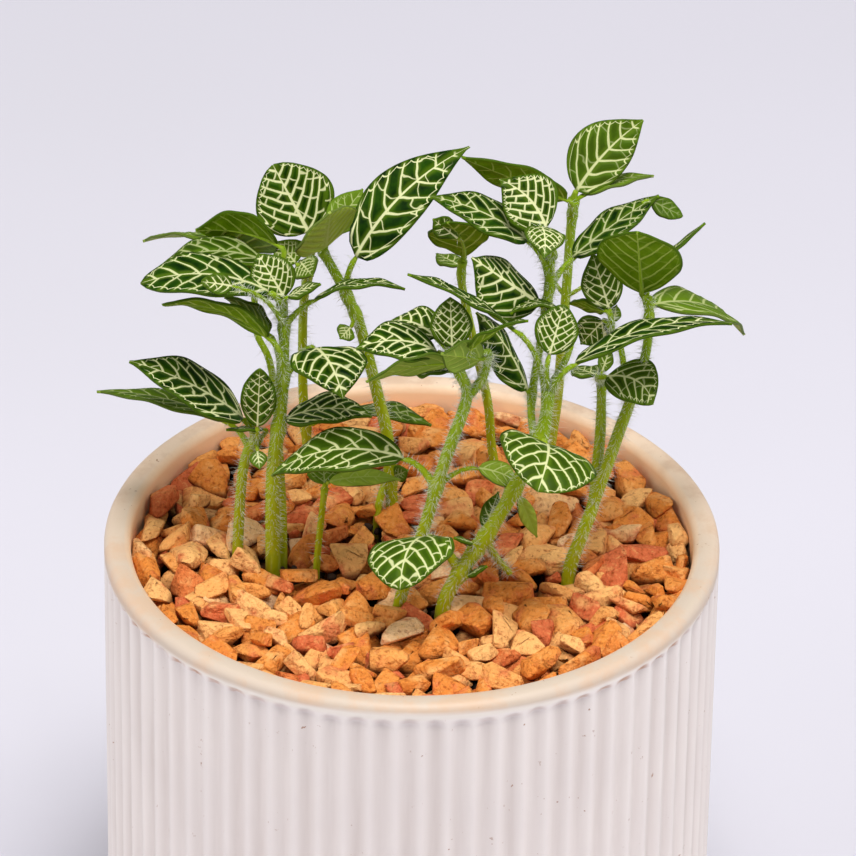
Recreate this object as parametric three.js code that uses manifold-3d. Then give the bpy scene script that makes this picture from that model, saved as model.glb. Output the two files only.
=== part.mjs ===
// A potted nerve plant: leafy stems standing in a ribbed ceramic pot topped with crushed gravel.
// Millimetres, +Z up, origin at the middle of the pot's foot. The photographed side faces -Y.
import * as THREE from 'three';
import { mergeVertices } from 'three/addons/utils/BufferGeometryUtils.js';
import Module from 'manifold-3d';

const wasm = await Module();
wasm.setup();

// Pot
const potDiameter = 120;
const potHeight = 115;
const wallThickness = 5.2;
const floorThickness = 8;
const footBevel = 1.5;
const rimBandHeight = 3.2;
const lipOuterRound = 1.3;
const lipInnerRound = 2.2;
const ribCount = 76;
const ribDepth = 0.8;
const roundSegments = 60;

// Filling
const gap = 0.35;
const holeGap = 0.5;
const soilTop = 100.5;
const gravelBedTop = 107.6;
const gravelTop = 110;
const chipSpacing = 10.8;
const chipWidth = 10.8;
const chipHeight = 7;
const stemFootDepth = 88;

// Leaves and stems
const bladeThickness = 0.7;
const smallLeafWidth = 9;
const stemSides = 6;
const largeLeafRows = 6;
const smallLeafRows = 4;

const forwardFacing = [0, -1, 0.6];
const upward = [0, 0, 1];

// A leaf's petiole starts at a point on its stem and ends at the blade's base, and the midrib runs
// from there to the tip. In the last argument, face is where the upper side looks, roll and twist
// turn the blade about its midrib in degrees, arch and bow bend the midrib up and sideways in
// millimetres, fold lifts both halves in degrees, widest is where along the midrib the blade is
// widest, and sharp is how pointed its tip is.
function leaf(start, base, tip, wide, shape = {}) {
  const plain = { face: upward, roll: 0, twist: 0, arch: 0, bow: 0, fold: 8, widest: 0.43, sharp: 1 };
  return { start, base, tip, wide, ...plain, ...shape };
}

// Each stem's paths are points [x, y, z, diameter]. A path that starts at the gravel's level stands
// in the soil.
const stems = {
  stem_tall_left: {
    paths: [[[-27, -4, 110, 3], [-27, -4, 131, 2.8], [-25.5, -4, 146, 2.4], [-25, -4, 158, 2.1],
      [-25, -4, 164, 2], [-25.5, -4, 170.5, 1.6]]],
    leaves: [
      leaf([-25.5, -4, 152.5], [-28, -6, 163], [-48, -8, 171], 11, { roll: -41, arch: 2.5, sharp: 0 }),
      leaf([-25.5, -4, 153], [-28, -1, 161], [-36.5, 1, 167.5], 11, { roll: -50, arch: 1 }),
      leaf([-25, -4, 153], [-19, -6, 160.5], [-13.5, -19, 157.5], 15.5, { roll: 5, arch: 2 }),
      leaf(
        [-25, -4, 164], [-31.5, -7, 173.5], [-40.5, -12, 178], 7.5,
        { roll: -28, twist: 30, arch: 1, sharp: 0 },
      ),
      leaf([-25, -4, 164], [-19, -5, 171], [-2, -6, 174], 9.5, { roll: 21, arch: 2 }),
      leaf([-25.5, -4, 169], [-28, -6, 173], [-52, -8, 175.5], 14, { roll: 4, arch: 3, sharp: 0.3 }),
      leaf(
        [-25.5, -4, 170], [-25, -5, 171.5], [-30, -2, 179], 9,
        { face: forwardFacing, arch: 0.5, sharp: 0.3 },
      ),
      leaf([-25, -4, 170], [-24, -6, 172], [-18, -7, 175.5], 5),
      leaf([-26, -4, 141], [-24.5, -4.5, 143.5], [-8, -7, 146], 12, { roll: 2, arch: 2 }),
    ],
  },
  stem_short_left: {
    paths: [[[-34, -1, 110, 2.2], [-33, -2, 129.5, 2], [-31.5, -2, 135, 2], [-30, -2, 138, 1.8]]],
    leaves: [
      leaf([-30.5, -2, 137.5], [-33, -4, 143.5], [-54.5, -6, 157], 14.5, { roll: 8, arch: 1.5 }),
      leaf([-31.5, -2, 135], [-36.5, 2, 139], [-61.5, 8, 141.5], 9, { roll: -15, arch: 1.5 }),
      leaf([-30, -2, 138], [-30, -6, 143], [-29.5, -7, 156.5], 7, { face: forwardFacing }),
      leaf([-30, -2, 137.5], [-29, -4, 141], [-36, -6, 142], 4, { roll: -22 }),
      leaf([-30, -2, 136.5], [-30, -5, 136.5], [-29.5, -9, 134], 5, { face: forwardFacing }),
    ],
  },
  stem_back_left: {
    paths: [[[-25, -1, 110, 1.5], [-25.5, 1, 125.5, 1.5], [-27.5, 5, 148.5, 1.4], [-30.5, 8, 155.5, 1.3],
      [-31, 9, 164.5, 1.2]]],
    leaves: [
      leaf([-31, 9, 164.5], [-26.5, 10, 174], [-42.5, 15, 174], 12.5, { roll: -68, arch: 1.5 }),
      leaf([-31, 9, 164.5], [-36, 14, 171.5], [-53, 25, 165.5], 9, { roll: -24, arch: 1.5 }),
      leaf([-31, 9, 164.5], [-29.5, 8, 171.5], [-49, 7, 170.5], 13, { roll: -4, arch: 2.5 }),
    ],
  },
  stem_far_left: {
    paths: [[[-21, 35, 110, 2], [-22, 33, 127, 1.9], [-22, 31, 146.5, 1.8], [-21, 29, 157, 1.7],
      [-20, 28, 165, 1.5]]],
    leaves: [
      leaf([-20, 28, 165], [-21, 28, 166.5], [-28, 32, 179], 16, { face: forwardFacing, sharp: 0 }),
      leaf([-21, 29, 156], [-22.5, 29, 159], [-20, 22, 160], 6, { face: forwardFacing }),
      leaf([-21, 29, 155], [-23.5, 28, 159.5], [-27, 30, 163], 7, { face: forwardFacing }),
      leaf([-21.5, 34, 118.5], [-20, 33, 119.5], [3.5, 27, 123], 13, { roll: 40, twist: -40, arch: 3 }),
    ],
  },
  stem_middle: {
    paths: [
      [[-4, 15, 110, 2.4], [-5, 15, 127, 2.4], [-7, 15, 137, 2.3], [-10.5, 14, 153, 2.2],
        [-13, 13, 160.5, 2], [-15, 13, 165, 1.9], [-18, 13, 171, 1.7]],
      [[-7, 13, 110, 1.5], [-5.5, 15, 117, 1.5], [-5, 15, 119, 1.4]],
    ],
    leaves: [
      leaf([-18, 13, 171], [-17.5, 12, 172.5], [-16.5, 2, 186], 14.5, { roll: -33, sharp: 0.5 }),
      leaf([-18, 13, 171], [-16.5, 17, 173], [-10.5, 24, 178.5], 7, { face: forwardFacing }),
      leaf(
        [-13.5, 13, 161], [-11.5, 12, 170.5], [10, 20, 190.5], 12,
        { face: [-0.3, -1, 0.8], bow: -2.5, widest: 0.38 },
      ),
      leaf([-12, 13, 156.5], [-12.5, 12, 154.5], [-14.5, 11, 152.5], 4, { face: forwardFacing }),
      leaf([-4.5, 15, 118.5], [-3.5, 14, 119.5], [-1, 12, 122], 4, { face: forwardFacing }),
    ],
  },
  stem_sprout: {
    paths: [[[-18.5, -6, 110, 1.4], [-17, -6, 129, 1.2]]],
    leaves: [
      leaf([-17, -6, 129], [-16, -6, 130.5], [-2.5, -5, 130], 7, { roll: 22, arch: 2 }),
      leaf([-17, -6, 129], [-17, -6, 130], [-17.5, -1, 133], 8, { face: forwardFacing }),
    ],
  },
  stem_centre: {
    paths: [
      [[-2.5, -19.5, 110, 2.4], [2.5, -20, 130, 2.3], [4.5, -20, 138.5, 2.3], [7, -21, 148.5, 2.3],
        [10, -21, 159.5, 2.2], [8.5, -22, 165.5, 2], [7.5, -22, 168, 1.6]],
      [[10, -21, 159.5, 2], [13, -21, 164, 1.8], [14, -21, 169.5, 1.5]],
    ],
    leaves: [
      leaf([4.5, -20, 138], [-2, -18.5, 144], [-27, -14.5, 137], 13.5, { roll: 7, arch: 4 }),
      leaf([5, -20, 139], [13, -17, 140.5], [19, -13, 135.5], 6, { roll: -10, arch: 1 }),
      leaf([7.5, -22, 168], [4, -22, 170], [-11, -24, 171.5], 13.5, { roll: 2, arch: 2 }),
      leaf([8, -21, 167], [4, -17, 170], [-5.5, -10, 168.5], 11, { roll: 5, arch: 2 }),
      leaf([7.5, -22, 168], [7, -24, 172.5], [6.5, -22, 182], 8, { face: forwardFacing }),
      leaf([8, -22, 168], [6.5, -25, 169.5], [-9, -30, 168], 9, { roll: -62, twist: 20, arch: 1 }),
      leaf([14, -21, 169.5], [10.5, -27, 174], [21, -31, 182.5], 8, { roll: 8, arch: 1 }),
      leaf([13.5, -21, 168], [12.5, -25, 170.5], [5, -31, 175], 8, { roll: -75 }),
      leaf([8, -21, 166], [7, -18, 163.5], [0, -13, 160], 8, { roll: -8 }),
    ],
  },
  stem_front: {
    paths: [
      [[6, -19.5, 110, 2.8], [10, -19.5, 120, 2.8], [15, -19, 128.5, 2.7], [20, -18, 138.5, 2.7],
        [24.5, -17, 149.5, 2.6], [25.5, -16, 158.5, 2]],
      [[23.5, -16.5, 146, 1.6], [22.5, -14, 150, 1.5], [22.5, -12, 155, 1.5], [24, -8, 164.5, 1.6],
        [25, -6, 172, 1.7], [25.5, -5, 175, 1.7], [25.5, -4, 181, 1.4]],
      [[14, -19, 126, 1.5], [16.5, -17, 120.5, 1.4], [19, -16, 116.5, 1.2]],
    ],
    leaves: [
      leaf([25, -16, 157], [18.5, -18, 173], [-1.5, -24, 188], 10, { roll: -10, arch: 1 }),
      leaf([25.5, -15, 158], [28, -9, 171], [18, -12, 172.5], 8, { roll: -18, arch: 2 }),
      leaf([25.5, -16, 158.5], [25.5, -18, 167.5], [28, -15, 176.5], 8.2, { face: forwardFacing }),
      leaf([26, -16, 158], [30.5, -18, 165.5], [60, -12, 171], 11, { roll: 15, arch: 3 }),
      leaf([9.5, -19.5, 119], [1.5, -24, 127.5], [-2.5, -38, 127.5], 17, { roll: -15, arch: 3 }),
      leaf([24.5, -17, 148.5], [25, -20, 148.5], [23.5, -36, 148.5], 20, { roll: 22, arch: 3 }),
      leaf([14.5, -19, 127], [14, -16, 126.5], [16.5, -11, 132], 4, { face: forwardFacing }),
      leaf([19.5, -18, 137], [20.5, -15, 133.5], [24, -12, 122.5], 4, { face: forwardFacing }),
      leaf([9.5, -19.5, 119], [11, -21, 119], [14.5, -22, 122], 3),
      leaf([12.5, -19.5, 124], [11.5, -21, 126.5], [8, -23, 129], 2.5),
      leaf(
        [26, -4, 180.5], [24.5, -5, 187.5], [15.5, -1, 195.5], 11.5,
        { face: forwardFacing, bow: 1.5 },
      ),
      leaf([25.5, -5, 175], [21, -4, 184], [2.5, -2, 192], 11, { roll: 6, arch: 1.5 }),
      leaf([26, -4, 180.5], [23.5, -7, 188.5], [24, -15, 186.5], 8, { roll: 12, arch: 1.5 }),
      leaf([25.5, -5, 174.5], [30, -1.5, 179], [46, 5, 189], 10.5, { roll: 4, arch: 0.5 }),
      leaf([43, 4.5, 187.5], [44.5, 4.5, 188], [50.5, 4, 185], 4.5, { face: forwardFacing }),
      leaf([25, -6, 171.5], [23.5, -8, 172.5], [10.5, -10, 183.5], 14, { roll: 35, fold: -25 }),
      leaf(
        [22.5, -12, 154.5], [21.5, -13, 156.5], [11.5, -15, 174.5], 9,
        { roll: 35, fold: -20, bow: 1.5 },
      ),
    ],
  },
  stem_back_middle: {
    paths: [[[16.5, 28, 110, 1.8], [15.5, 28, 118, 1.8], [14.5, 27, 129, 1.8], [11.5, 25, 144, 1.7],
      [9, 22, 158.5, 1.6], [9, 21, 164.5, 1.5]]],
    leaves: [
      leaf([9, 21, 164.5], [9, 21, 165.5], [4.5, 12, 179], 11, { roll: -20, bow: -1.2 }),
      leaf([9, 22, 161.5], [8.5, 24, 161.5], [4, 31, 160], 5),
    ],
  },
  stem_back_right: {
    paths: [
      [[27, 33, 110, 2.2], [27.5, 33, 117, 2.1], [28.5, 33, 128, 2.1], [29.5, 32, 150.5, 1.9],
        [30, 31, 164.5, 1.9], [30.5, 30, 173.5, 1.8]],
      [[29.5, 32, 150.5, 1], [28.5, 32, 151.5, 0.9], [27.5, 32, 153, 0.8]],
      [[29.5, 32, 150.5, 1], [31, 31.5, 151.5, 0.9], [32.5, 31, 153, 0.8]],
    ],
    leaves: [
      leaf(
        [30.5, 30, 173.5], [31, 30, 175.5], [44, 35, 188.5], 13,
        { face: forwardFacing, bow: -2.4, widest: 0.33 },
      ),
      leaf([30.5, 30, 173], [32.5, 30, 174.5], [44, 36, 175], 5, { roll: 12, arch: 1 }),
      leaf([30, 30, 170], [29, 28, 174.5], [8.5, 23, 186.5], 9, { roll: -60 }),
    ],
  },
  stem_right: {
    paths: [
      [[30.5, -7, 110, 2.7], [33, -7, 120, 2.5], [35, -6, 126.5, 2.4], [35.5, -4, 133, 2.2],
        [36, -3, 141, 2.1], [36, -2, 151, 1.7]],
      [[35, -6, 126.5, 2.3], [37.5, -6, 135.5, 2.3], [39.5, -6, 143, 2.3], [41.5, -6, 150, 2.1],
        [44, -6, 160, 1.8], [44.5, -6, 168.5, 1.7], [44, -6, 173, 1.5]],
      [[41, -6, 149.5, 1.3], [39.5, -2, 159, 1.2], [37.5, 0, 162.5, 1]],
    ],
    leaves: [
      leaf([36, -2, 152], [37.5, -3, 153.5], [46, -10, 152.5], 9, { face: forwardFacing, bow: -2.5 }),
      leaf([36, -2, 151.5], [35, -2, 153], [30.5, 4, 151], 6),
      leaf([36, -2, 152], [36, -2, 154], [37.5, 1, 157.5], 3, { face: forwardFacing }),
      leaf([44, -6, 173], [43.5, -6, 174], [40.5, -14, 192.5], 17, { sharp: 0.3 }),
      leaf([37.5, 0, 162.5], [37, 0, 167], [33.5, 2, 178], 8, { face: forwardFacing }),
      leaf([37.5, 0, 162.5], [36, 0, 166.5], [29.5, 4, 165.5], 6, { roll: -50 }),
      leaf([37.5, 0, 162.5], [36, 1, 163.5], [32, 4, 156.5], 7, { face: forwardFacing }),
      leaf([37.5, 0, 162.5], [38, 1, 163.5], [38.5, 2, 166.5], 2.5, { face: forwardFacing }),
      leaf([44.5, -6, 168.5], [45.5, -3, 169.5], [63.5, 9, 156], 12, { arch: 3 }),
      leaf([44, -6, 172.5], [45.5, -1, 177], [55, 6, 182.5], 4, { roll: 28 }),
    ],
  },
};

const ceramic = new THREE.MeshStandardMaterial({ color: 0xe2dbd6, roughness: 0.55, metalness: 0 });
const soilDark = new THREE.MeshStandardMaterial({ color: 0x2c211a, roughness: 0.95, metalness: 0 });
const gravelTan = new THREE.MeshStandardMaterial({ color: 0xd9985a, roughness: 0.8, metalness: 0 });
const leafGreen = new THREE.MeshStandardMaterial({ color: 0x4f7f2c, roughness: 0.5, metalness: 0 });

// Solids and booleans

function toSolid(geometry) {
  const bare = geometry.clone();
  bare.deleteAttribute('normal');
  bare.deleteAttribute('uv');
  const merged = mergeVertices(bare, 1e-4);
  return new wasm.Manifold(new wasm.Mesh({
    numProp: 3,
    vertProperties: new Float32Array(merged.attributes.position.array),
    triVerts: new Uint32Array(merged.index.array),
  }));
}

function toGeometry(solid) {
  const mesh = solid.getMesh();
  const geometry = new THREE.BufferGeometry();
  geometry.setAttribute('position', new THREE.BufferAttribute(new Float32Array(mesh.vertProperties), 3));
  geometry.setIndex(new THREE.BufferAttribute(new Uint32Array(mesh.triVerts), 1));
  geometry.computeVertexNormals();
  return geometry;
}

function join(solids) {
  return solids.reduce((whole, solid) => whole.add(solid));
}

function largestBody(solid) {
  const bodies = solid.decompose();
  return bodies.reduce((best, body) => (body.volume() > best.volume() ? body : best));
}

// A closed skin over rings that all have the same number of points. With pairedFaces the second
// half of each ring is split into triangles as the mirror image of the first.
function loft(rings, pairedFaces = false) {
  const sides = rings[0].length;
  const faces = [];
  for (let r = 0; r + 1 < rings.length; r += 1) {
    for (let i = 0; i < sides; i += 1) {
      const a = r * sides + i;
      const b = r * sides + (i + 1) % sides;
      if (pairedFaces && i >= sides / 2) {
        faces.push(a, b, a + sides, b, b + sides, a + sides);
      } else {
        faces.push(a, b, b + sides, a, b + sides, a + sides);
      }
    }
  }
  const last = (rings.length - 1) * sides;
  for (let i = 1; i + 1 < sides; i += 1) {
    faces.push(0, i + 1, i);
    faces.push(last, last + i, last + i + 1);
  }
  const geometry = new THREE.BufferGeometry().setFromPoints(rings.flat());
  geometry.setIndex(faces);
  return geometry;
}

// A ring of stemSides points round a centre, square to the direction along. Its first corners lie
// to the side that sideways points to.
function roundRing(centre, along, sideways, radius) {
  const right = sideways.clone().addScaledVector(along, -sideways.dot(along)).normalize();
  const up = right.clone().cross(along).normalize();
  const ring = [];
  for (let i = 0; i < stemSides; i += 1) {
    const angle = ((i + 0.5) * 2 * Math.PI) / stemSides;
    ring.push(centre.clone()
      .addScaledVector(right, radius * Math.cos(angle))
      .addScaledVector(up, radius * Math.sin(angle)));
  }
  return ring;
}

// A round stalk through points, with a radius at each.
function stalk(points, radii) {
  const sideways = new THREE.Vector3(1, 0, 0);
  return loft(points.map((point, i) => {
    const before = points[Math.max(i - 1, 0)];
    const after = points[Math.min(i + 1, points.length - 1)];
    return roundRing(point, after.clone().sub(before).normalize(), sideways, radii[i]);
  }).reverse());
}

// Pot

function makePot() {
  const radius = potDiameter / 2;
  const innerRadius = radius - wallThickness;
  const ribTop = potHeight - rimBandHeight;
  const outline = new THREE.Shape();
  const ribPoints = [];
  for (let i = 0; i < ribCount; i += 1) {
    const angle = (2 * Math.PI * i) / ribCount;
    const across = (2 * Math.PI) / ribCount;
    ribPoints.push([radius - ribDepth, angle]);
    ribPoints.push([radius, angle + 0.3 * across]);
    ribPoints.push([radius, angle + 0.7 * across]);
  }
  outline.setFromPoints(ribPoints.map(
    ([r, angle]) => new THREE.Vector2(r * Math.cos(angle), r * Math.sin(angle)),
  ));
  const ribs = new THREE.ExtrudeGeometry(outline, { depth: ribTop - footBevel, bevelEnabled: false });
  ribs.translate(0, 0, footBevel);

  const coreRadius = radius - ribDepth - 0.3;
  const core = [
    [0, 0],
    [coreRadius - footBevel, 0],
    [coreRadius, footBevel],
    [coreRadius, ribTop - 1],
    [radius, ribTop - 1],
    [radius, potHeight - lipOuterRound],
    [radius - lipOuterRound, potHeight],
    [innerRadius + lipInnerRound, potHeight],
    [innerRadius + lipInnerRound * 0.3, potHeight - lipInnerRound * 0.3],
    [innerRadius, potHeight - lipInnerRound],
    [innerRadius, floorThickness],
    [0, floorThickness],
  ];
  const body = lathe(core, roundSegments);
  const hollow = lathe([
    [0, floorThickness],
    [innerRadius, floorThickness],
    [innerRadius, potHeight - lipInnerRound],
    [0, potHeight - lipInnerRound],
  ], roundSegments);
  return toSolid(ribs).subtract(toSolid(hollow)).add(toSolid(body));
}

function lathe(profile, segments) {
  const points = profile.map(([r, z]) => new THREE.Vector2(r, z));
  const geometry = new THREE.LatheGeometry(points, segments);
  geometry.rotateX(Math.PI / 2);
  return geometry;
}

function disc(radius, bottom, top) {
  const geometry = new THREE.CylinderGeometry(radius, radius, top - bottom, roundSegments);
  geometry.rotateX(Math.PI / 2);
  geometry.translate(0, 0, (bottom + top) / 2);
  return geometry;
}

// Filling

function seededRandom(seed) {
  let state = seed;
  return () => {
    state = (state + 0x6d2b79f5) | 0;
    let mixed = Math.imul(state ^ (state >>> 15), 1 | state);
    mixed = (mixed + Math.imul(mixed ^ (mixed >>> 7), 61 | mixed)) ^ mixed;
    return ((mixed ^ (mixed >>> 14)) >>> 0) / 4294967296;
  };
}

// One angular chip of stone: a block of three to five sides with its corners pushed about.
function makeChip(random) {
  const sides = 3 + Math.floor(3 * random());
  const stretch = 0.8 + 0.35 * random();
  const chip = new THREE.CylinderGeometry(0.36 * chipWidth, 0.52 * chipWidth, chipHeight, sides);
  chip.rotateX(Math.PI / 2);
  chip.deleteAttribute('normal');
  chip.deleteAttribute('uv');
  const merged = mergeVertices(chip);
  const position = merged.attributes.position;
  for (let i = 0; i < position.count; i += 1) {
    position.setXYZ(
      i,
      position.getX(i) * stretch * (0.85 + 0.35 * random()),
      position.getY(i) / stretch * (0.85 + 0.35 * random()),
      position.getZ(i) * (0.8 + 0.3 * random()),
    );
  }
  merged.rotateX(0.5 * (random() - 0.5));
  merged.rotateY(0.5 * (random() - 0.5));
  merged.rotateZ(Math.PI * random());
  return merged;
}

function makeGravel(innerRadius, holes) {
  const random = seededRandom(7);
  const reach = innerRadius - gap;
  const solids = [toSolid(disc(reach, soilTop + gap, gravelBedTop))];
  const rowSpacing = chipSpacing * Math.sqrt(0.75);
  const rows = Math.ceil(reach / rowSpacing);
  for (let row = -rows; row <= rows; row += 1) {
    for (let column = -rows; column <= rows; column += 1) {
      const x = (column + (row % 2 ? 0.5 : 0)) * chipSpacing + 2.4 * (random() - 0.5);
      const y = row * rowSpacing + 2.4 * (random() - 0.5);
      const chip = makeChip(random);
      const lift = 1.8 * (random() - 0.5);
      if (Math.hypot(x, y) < reach - 1) {
        chip.translate(x, y, gravelTop - 0.45 * chipHeight + lift);
        solids.push(toSolid(chip));
      }
    }
  }
  const trimmed = join(solids).intersect(toSolid(disc(reach, soilTop + gap, potHeight)));
  return largestBody(holes.reduce((bed, hole) => bed.subtract(hole), trimmed));
}

function makeSoil(innerRadius, holes) {
  const soil = toSolid(disc(innerRadius - gap, floorThickness + gap, soilTop));
  return holes.reduce((body, hole) => body.subtract(hole), soil);
}

// Plant

function pathPoints(path) {
  const points = path.map(([x, y, z]) => new THREE.Vector3(x, y, z));
  const radii = path.map(([, , , diameter]) => diameter / 2);
  if (points[0].z <= gravelTop) {
    points.unshift(points[0].clone().setZ(stemFootDepth));
    radii.unshift(radii[0]);
  }
  return { points, radii };
}

// The plain hole that a stem stands in: the stem's own line, a little wider, to above the gravel.
function makeHole(path) {
  const { points, radii } = pathPoints(path);
  const lower = points.slice(0, 3);
  lower[0].z -= holeGap;
  return toSolid(stalk(lower, radii.slice(0, 3).map((radius) => radius + holeGap)));
}

// A leaf as one skin: a round petiole that opens into a blade of even thickness. Each ring of the
// blade runs over its upper face from the right edge to the left, and back under it.
function makeLeaf(shape) {
  const base = new THREE.Vector3(...shape.base);
  const tip = new THREE.Vector3(...shape.tip);
  const start = new THREE.Vector3(...shape.start);
  const chord = tip.clone().sub(base);
  const forward = chord.clone().normalize();
  const face = new THREE.Vector3(...shape.face);
  const normal = face.addScaledVector(forward, -face.dot(forward)).normalize();
  const side = forward.clone().cross(normal);
  const widestPower = Math.log(0.5) / Math.log(shape.widest);
  const fold = THREE.MathUtils.degToRad(shape.fold);
  const rowCount = shape.wide > smallLeafWidth ? largeLeafRows : smallLeafRows;

  const rows = [];
  for (let i = 0; i <= rowCount; i += 1) {
    const t = i / rowCount;
    const turn = THREE.MathUtils.degToRad(shape.roll + shape.twist * t);
    const right = side.clone().multiplyScalar(Math.cos(turn)).addScaledVector(normal, Math.sin(turn));
    const up = normal.clone().multiplyScalar(Math.cos(turn)).addScaledVector(side, -Math.sin(turn));
    const bend = 4 * t * (1 - t);
    const middle = base.clone()
      .addScaledVector(chord, t)
      .addScaledVector(up, shape.arch * bend)
      .addScaledVector(right, shape.bow * bend);
    const fullness = Math.max(Math.sin(Math.PI * t ** widestPower), 0);
    const half = Math.max((shape.wide / 2) * fullness ** (0.62 + 0.5 * t * shape.sharp), 0.4);
    rows.push({
      right,
      points: [1, 0, -1].map((s) => middle.clone()
        .addScaledVector(right, half * s * Math.cos(fold))
        .addScaledVector(up, half * Math.abs(s) * Math.sin(fold))),
    });
  }

  const bladeRings = rows.slice(1).map(({ points }, index) => {
    const before = rows[index].points;
    const after = rows[Math.min(index + 2, rowCount)].points;
    const normals = points.map((point, k) => {
      const across = points[Math.max(k - 1, 0)].clone().sub(points[Math.min(k + 1, 2)]);
      return across.cross(after[k].clone().sub(before[k])).normalize();
    });
    const raised = (offset) => points.map((point, k) => point.clone().addScaledVector(normals[k], offset));
    return [...raised(bladeThickness / 2), ...raised(-bladeThickness / 2).reverse()];
  });

  const slope = rows[1].points[1].clone().sub(base).normalize();
  const reach = base.distanceTo(start);
  const shoulder = base.clone().addScaledVector(slope, -0.45 * reach);
  const bent = new THREE.QuadraticBezierCurve3(start, shoulder, base);
  const petioleSteps = reach > 5 ? 3 : 1;
  const radius = 0.34 + 0.026 * shape.wide;
  const petioleRings = [];
  for (let i = 0; i <= petioleSteps; i += 1) {
    const t = i / petioleSteps;
    const along = petioleSteps === 1 ? slope : bent.getTangent(t);
    petioleRings.push(roundRing(bent.getPoint(t), along, rows[0].right, radius * (1.15 - 0.15 * t)));
  }
  return toSolid(loft([...petioleRings, ...bladeRings].reverse(), true));
}

function makeStem({ paths, leaves }) {
  const stalks = paths.map((path) => {
    const { points, radii } = pathPoints(path);
    return toSolid(stalk(points, radii));
  });
  return largestBody(join([...stalks, ...leaves.map(makeLeaf)]));
}

// Assembly

const model = new THREE.Group();

function addPiece(name, solid, material) {
  const mesh = new THREE.Mesh(toGeometry(solid), material);
  mesh.name = name;
  model.add(mesh);
}

const innerRadius = potDiameter / 2 - wallThickness;
const holes = Object.values(stems)
  .flatMap(({ paths }) => paths.filter((path) => path[0][2] <= gravelTop))
  .map(makeHole);

addPiece('pot', makePot(), ceramic);
addPiece('potting_soil', makeSoil(innerRadius, holes), soilDark);
addPiece('gravel', makeGravel(innerRadius, holes), gravelTan);
for (const [name, stem] of Object.entries(stems)) {
  addPiece(name, makeStem(stem), leafGreen);
}

export default model;
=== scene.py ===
import math
import random

import bmesh
import bpy
import numpy as np
from mathutils import Matrix, Vector, noise


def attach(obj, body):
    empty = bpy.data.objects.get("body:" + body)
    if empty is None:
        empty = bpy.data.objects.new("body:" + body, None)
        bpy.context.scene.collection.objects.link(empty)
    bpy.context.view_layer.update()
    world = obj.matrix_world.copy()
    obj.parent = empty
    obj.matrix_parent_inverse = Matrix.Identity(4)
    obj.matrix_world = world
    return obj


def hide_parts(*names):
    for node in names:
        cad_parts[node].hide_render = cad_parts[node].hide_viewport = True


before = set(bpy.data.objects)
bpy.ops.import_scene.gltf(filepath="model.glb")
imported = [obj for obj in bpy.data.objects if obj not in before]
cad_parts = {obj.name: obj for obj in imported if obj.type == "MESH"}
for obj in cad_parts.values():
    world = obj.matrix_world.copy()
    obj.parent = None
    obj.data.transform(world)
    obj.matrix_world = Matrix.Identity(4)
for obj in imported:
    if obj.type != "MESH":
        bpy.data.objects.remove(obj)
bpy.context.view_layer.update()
mm = 0.001
noise.seed_set(1)  # noise_vector would start from the clock
print("frame loaded:", len(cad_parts), "nodes")


# node helpers: each adds to the material that was started last

building = {"tree": None}


def newMaterial(name):
    material = bpy.data.materials.new(name)
    material.use_nodes = True
    building["tree"] = material.node_tree
    return material, material.node_tree.nodes["Principled BSDF"]


def newNode(kind):
    return building["tree"].nodes.new("ShaderNode" + kind)


def plug(socket, value):
    if isinstance(value, bpy.types.NodeSocket):
        building["tree"].links.new(value, socket)
    else:
        socket.default_value = value


def plugAll(node, given):
    for name, value in given.items():
        plug(node.inputs[name], value)


def calc(operation, *values, clamp=False):  # one Math node
    node = newNode("Math")
    node.operation = operation
    node.use_clamp = clamp
    plugAll(node, dict(enumerate(values)))
    return node.outputs[0]


def chained(operation):  # a function of two or more values, from left to right
    def work(first, *others):
        for value in others:
            first = calc(operation, first, value)
        return first
    return work


# over divides
plus, minus, times, over, greatest = map(chained, ("ADD", "SUBTRACT", "MULTIPLY", "DIVIDE", "MAXIMUM"))


def mixColour(share, first, second):
    node = newNode("Mix")
    node.data_type = "RGBA"
    plugAll(node, {"Factor": share, 6: first, 7: second})  # 6 and 7 are its two colours
    return node.outputs[2]


def layered(colour, *coats):  # each coat is the share that shows and its colour
    for share, coat in coats:
        colour = mixColour(share, colour, coat)
    return colour


def ramp(value, low, high, atLow=0.0, atHigh=1.0):  # a soft step between low and high
    node = newNode("MapRange")
    node.interpolation_type = "SMOOTHSTEP"
    plugAll(node, {"Value": value, "From Min": low, "From Max": high, "To Min": atLow, "To Max": atHigh})
    return node.outputs["Result"]


def attribute(name):
    node = newNode("Attribute")
    node.attribute_name = name
    return node.outputs["Fac"]


def vector(x, y, z=0.0):
    node = newNode("CombineXYZ")
    plugAll(node, {"X": x, "Y": y, "Z": z})
    return node.outputs[0]


def splitPlace(place):  # its x, y and z
    node = newNode("SeparateXYZ")
    plug(node.inputs[0], place)
    return node.outputs[:3]


def objectPlace(scale=(1, 1, 1)):
    mapping = newNode("Mapping")
    mapping.inputs["Scale"].default_value = scale
    plug(mapping.inputs["Vector"], newNode("TexCoord").outputs["Object"])
    return mapping.outputs[0]


def noiseValue(place, scale, detail=4.0, roughness=0.55):
    node = newNode("TexNoise")
    plugAll(node, {"Vector": place, "Scale": scale, "Detail": detail, "Roughness": roughness})
    return node.outputs["Fac"]


def setFinish(shader, colour, roughness, specular=0.5):
    plugAll(shader, {"Base Color": colour, "Roughness": roughness, "Specular IOR Level": specular})


def addBump(shader, height, strength, distance, below=None):
    node = newNode("Bump")
    plugAll(node, {"Strength": strength, "Distance": distance, "Height": height})
    if below is not None:
        plug(node.inputs["Normal"], below)
    plug(shader.inputs["Normal"], node.outputs[0])
    return node.outputs[0]


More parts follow.
